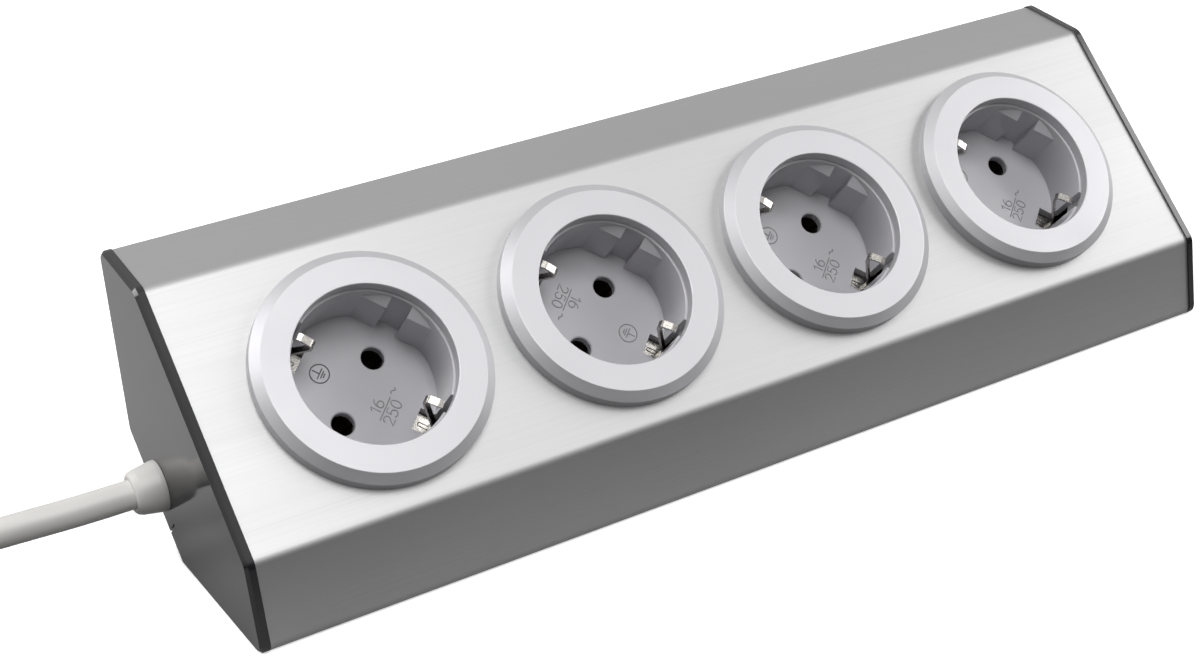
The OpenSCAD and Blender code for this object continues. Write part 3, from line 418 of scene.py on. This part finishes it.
def coil_tie(number, angle):
    """A strap round the coil's bundle at an angle, with a square head and a loose end on top."""
    turns = [
        coil_point(a) for a in range(0, COIL_TURN, 2)
        if abs((COIL_START + a - angle + 180) % 360 - 180) < 4
    ]
    reach = [math.hypot(p.x - COIL_AT[0], p.y - COIL_AT[1]) for p in turns]
    near, far = min(reach) - CABLE_R, max(reach) + CABLE_R
    top = max(p.z for p in turns) + CABLE_R
    half = TIE_WIDE / 2
    section = ((TIE_GAP, -half), (TIE_THICK, -half), (TIE_THICK, half), (TIE_GAP, half))
    bm = bmesh.new()
    rings = [
        [
            bm.verts.new((x + dx * (CABLE_R + out), y, max(z + dz * (CABLE_R + out), TIE_GAP * 2 / 3)))
            for out, y in section
        ]
        for x, z, dx, dz in tie_outline(near, far, top)
    ]
    for a, b in zip(rings, rings[1:] + rings[:1]):
        for i in range(4):
            bm.faces.new((a[i], a[(i + 1) % 4], b[(i + 1) % 4], b[i]))
    middle = (near + far) / 2
    add_block(bm, (middle, 0, top + TIE_THICK + TIE_HEAD_RISE), TIE_HEAD)
    add_block(bm, (middle - TIE_END_SHIFT, 0, top + 1.6 * TIE_THICK), (TIE_END_LEN, TIE_WIDE, TIE_THICK))
    bmesh.ops.recalc_face_normals(bm, faces=bm.faces)
    turn = Matrix.Translation((*COIL_AT, 0)) @ Matrix.Rotation(math.radians(angle), 4, "Z")
    bmesh.ops.transform(bm, matrix=Matrix.Scale(MM, 4) @ turn, verts=bm.verts)
    tie = mesh_piece(f"coil_tie_{number}", bm)
    soften = tie.modifiers.new("edges", "BEVEL")
    soften.width = TIE_BEVEL * MM
    soften.segments = 2
    soften.limit_method = "ANGLE"
    tie.data.materials.append(dark)
    return tie


path = cord_path()
lead = link_piece("mains_lead", line_curve("mains_lead", [path], CABLE_R * MM))
lead.data.materials.append(sheath)
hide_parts("mains_cable", "cable_coil")
ties = [coil_tie(i + 1, angle) for i, angle in enumerate(TIE_ANGLES)]


# Marks on the recess floors: an earth symbol, and a rating of plain numbers, drawn with strokes

def arc(x, y, rx, ry, start, end, steps=14):
    """Points on an ellipse's arc between two angles in degrees."""
    turn = [math.radians(start + (end - start) * i / steps) for i in range(steps + 1)]
    return [(x + rx * math.cos(a), y + ry * math.sin(a)) for a in turn]


# Width and strokes of each sign, for a height of 1
GLYPHS = {
    "0": (0.62, [arc(0.31, 0.5, 0.31, 0.5, 90, 450, 24)]),
    "1": (0.36, [[(0.0, 0.76), (0.28, 1.0), (0.28, 0.0)]]),
    "2": (0.62, [arc(0.31, 0.70, 0.31, 0.30, 170, -35) + [(0.0, 0.0), (0.62, 0.0)]]),
    "5": (0.60, [[(0.56, 1.0), (0.10, 1.0), (0.05, 0.55)] + arc(0.28, 0.32, 0.32, 0.32, 125, -150)]),
    "6": (0.62, [arc(0.62, 0.42, 0.62, 0.60, 105, 180, 8) + arc(0.31, 0.31, 0.31, 0.31, 170, 520, 22)]),
    "~": (0.70, [[(0.7 * i / 16, 0.5 + 0.14 * math.sin(2 * math.pi * i / 16)) for i in range(17)]]),
}
GLYPH_GAP = 0.24


def word_width(word):
    return sum(GLYPHS[c][0] for c in word) + GLYPH_GAP * (len(word) - 1)


def word_strokes(word, x, y):
    """Strokes of a word of height 1, centred at x and standing on y."""
    out = []
    at = x - word_width(word) / 2
    for c in word:
        wide, strokes = GLYPHS[c]
        out += [[(at + px, y + py) for px, py in s] for s in strokes]
        at += wide + GLYPH_GAP
    return out


def rating_strokes():
    """16 over 250 with a bar between them, and the sign for alternating current behind the bar."""
    bar = 0.52 * word_width("250")
    return (
        word_strokes("16", -0.1, 0.22) + word_strokes("250", 0, -1.22)
        + [[(-bar, 0), (bar, 0)]] + word_strokes("~", 1.92, -0.5)
    )


def earth_strokes():
    """The earth symbol in a circle of radius 1."""
    bars = [[(-half, y), (half, y)] for y, half in ((0, 0.62), (-0.27, 0.43), (-0.50, 0.26))]
    return [[(0, 0.82), (0, 0)]] + bars + [arc(0, 0, 1, 1, 0, 360, 40)]


def mark(name, k, strokes, size, at, material):
    """Strokes on the recess floor of socket k, at a place in the axes of its pin line."""
    way, turn = (-1, math.pi) if k == TURNED_SOCKET else (1, 0)
    place = socket_matrix(k) @ Matrix.Rotation(TWIST, 4, "Z")
    place = place @ Matrix.Translation((way * at[0] * MM, way * at[1] * MM, FLOOR_AT * MM))
    place = place @ Matrix.Rotation(turn, 4, "Z")
    paths = [[place @ Vector((x * size * MM, y * size * MM, 0)) for x, y in s] for s in strokes]
    obj = link_piece(name, line_curve(name, paths, MARK_HALF * MM, resolution=1))
    obj.data.materials.append(material)


for k in SOCKETS:
    mark(f"rating_{k}", k, rating_strokes(), RATING_SIZE, RATING_AT, relief_grey)
    mark(f"earth_mark_{k}", k, earth_strokes(), EARTH_SIZE, EARTH_AT, mark_grey if k == 1 else relief_grey)


# Floor: pale paper that keeps the shadow, and has its own levels in reflections

paper = Surface("floor_paper")
place = paper.place()
parts = paper.tree.nodes.new("ShaderNodeSeparateXYZ")
paper.tree.links.new(place, parts.inputs[0])
reach = paper.tree.nodes.new("ShaderNodeVectorMath")
reach.operation = "LENGTH"
paper.tree.links.new(place, reach.inputs[0])
glow = span(paper.tree, reach.outputs["Value"], GLOW_SPAN, PAPER_GLOW[1], GLOW_FAR)
# Painted reflection: the floor as mirrored is painted dark in front and light behind, by its place along Y
front = span(paper.tree, parts.outputs["Y"], FRONT_SPAN, PAPER_FRONT_PAINTED_SHADE, PAPER_TONE[2])
behind = span(paper.tree, parts.outputs["Y"], BEHIND_SPAN, 0.0, PAPER_BEHIND_PAINTED_LIGHT - PAPER_TONE[2])
mirrored = compute(paper.tree, "ADD", front, behind)
fibre = paper.spread(paper.noise(60, 3.0), MID, 0.97, 1.0)
level = compute(paper.tree, "MULTIPLY", by_ray(paper.tree, PAPER_TONE[0], PAPER_TONE[1], mirrored), fibre)
shade = paper.tree.nodes.new("ShaderNodeCombineColor")
for channel in shade.inputs[:3]:
    paper.tree.links.new(level, channel)
paper.finish(
    Base_Color=shade.outputs[0], Roughness=0.9, Specular_IOR_Level=0.0, Emission_Color=(1.0, 1.0, 1.0),
    Emission_Strength=by_ray(paper.tree, PAPER_GLOW[0], glow, PAPER_GLOW[2]),
)
bm = bmesh.new()
bmesh.ops.create_grid(bm, x_segments=1, y_segments=1, size=FLOOR_HALF)
bmesh.ops.translate(bm, vec=(0, 0, -FLOOR_DROP * MM), verts=bm.verts)
ground = mesh_piece("floor", bm, None)
ground.data.materials.append(paper.mat)


# World: white to the camera, and darker low in front where it is mirrored

world = bpy.data.worlds.new("studio")
scene.world = world
world.use_nodes = True
sky = world.node_tree
backdrop = sky.nodes["Background"]
backdrop.inputs["Color"].default_value = (1, 1, 1, 1)
way = sky.nodes.new("ShaderNodeSeparateXYZ")
sky.links.new(sky.nodes.new("ShaderNodeTexCoord").outputs["Generated"], way.inputs[0])
dim = compute(
    sky, "MULTIPLY", span(sky, way.outputs["Z"], DARK_SPAN_Z, FRONT_DARK, 0.0),
    span(sky, way.outputs["Y"], DARK_SPAN_Y, 1.0, 0.0),
)
mirrored = compute(sky, "MULTIPLY_ADD", dim, -WORLD_LEVEL[2], WORLD_LEVEL[2])
sky.links.new(by_ray(sky, WORLD_LEVEL[0], WORLD_LEVEL[1], mirrored), backdrop.inputs["Strength"])


# Lamps and camera

def area_light(name, direction, distance, wide, high, power):
    """A soft lamp in a direction from the object, turned to it."""
    light = bpy.data.lights.new(name, "AREA")
    light.shape = "RECTANGLE"
    light.size = wide
    light.size_y = high
    light.energy = power
    obj = bpy.data.objects.new(name, light)
    scene.collection.objects.link(obj)
    way = Vector(direction).normalized()
    obj.location = Vector(LAMPS_AIM) * MM + way * distance
    obj.rotation_euler = way.to_track_quat("Z", "Y").to_euler()


for name, values in LAMPS.items():
    area_light(name, *values)

camera = bpy.data.cameras.new("camera")
camera.lens = CAM_LENS
camera.sensor_width = SENSOR_WIDE
camera.clip_start = CLIP_START * MM
cam = bpy.data.objects.new("camera", camera)
scene.collection.objects.link(cam)
axes = Matrix((CAM_RIGHT, CAM_UP, CAM_BACK)).transposed().to_quaternion()
cam.matrix_world = Matrix.Translation(Vector(CAM_AT) * MM) @ axes.to_matrix().to_4x4()
scene.camera = cam
scene.view_settings.view_transform = "Standard"
